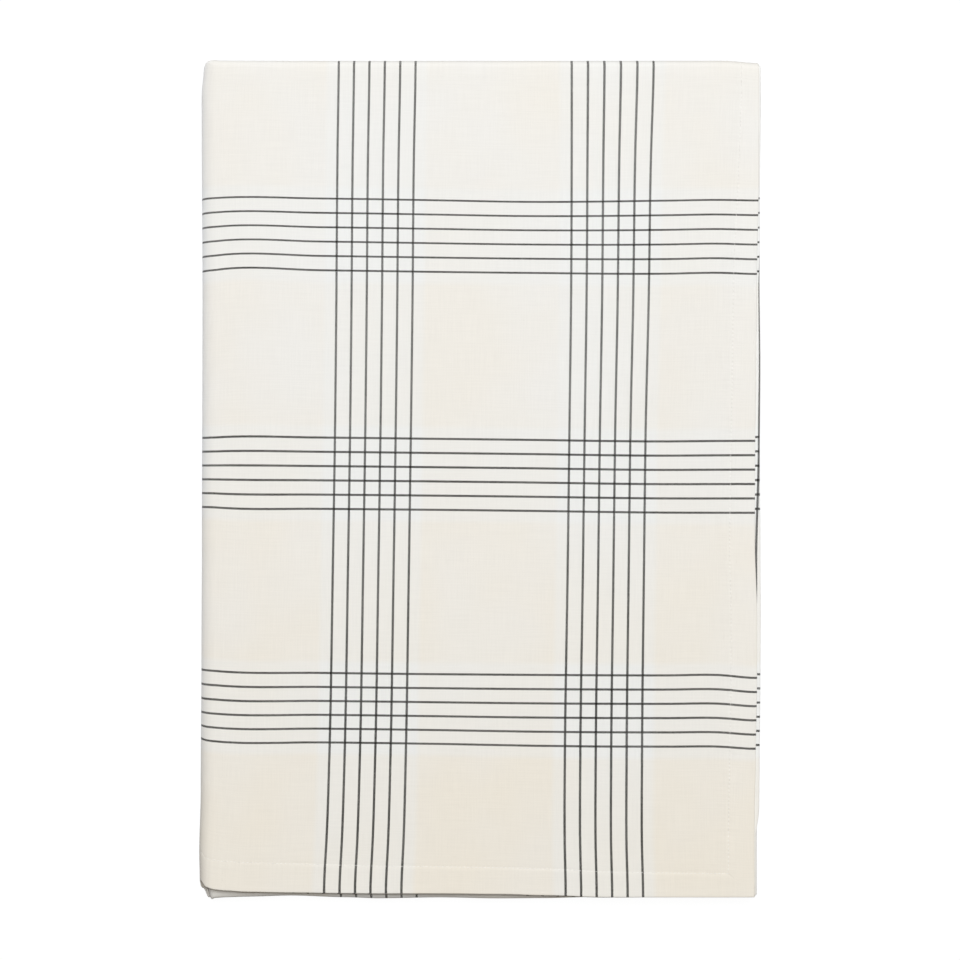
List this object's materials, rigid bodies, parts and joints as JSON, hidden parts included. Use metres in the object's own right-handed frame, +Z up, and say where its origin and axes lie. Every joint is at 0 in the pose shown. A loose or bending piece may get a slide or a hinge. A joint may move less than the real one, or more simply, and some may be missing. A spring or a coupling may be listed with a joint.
{
  "type": "tablecloth",
  "caption": "Folded flat rectangular tablecloth: a hemmed cotton sheet with a grouped-line check, folded in half across, in quarters along, and in half across again.",
  "frame": {"origin": "under the middle of the folded cloth's bounding box, on the surface it lies on", "axes": "+Z up; +Y along the folded cloth, from its hemmed end to its folded end; +X across it, from the last fold to the side hem"},
  "size_m": [0.3814, 0.5714, 0.0231],
  "materials": {
    "cotton": "plain-woven off-white cotton with dyed near-black lines"
  },
  "bodies": {
    "root": {"tablecloth": "cotton"}
  },
  "joints": []
}
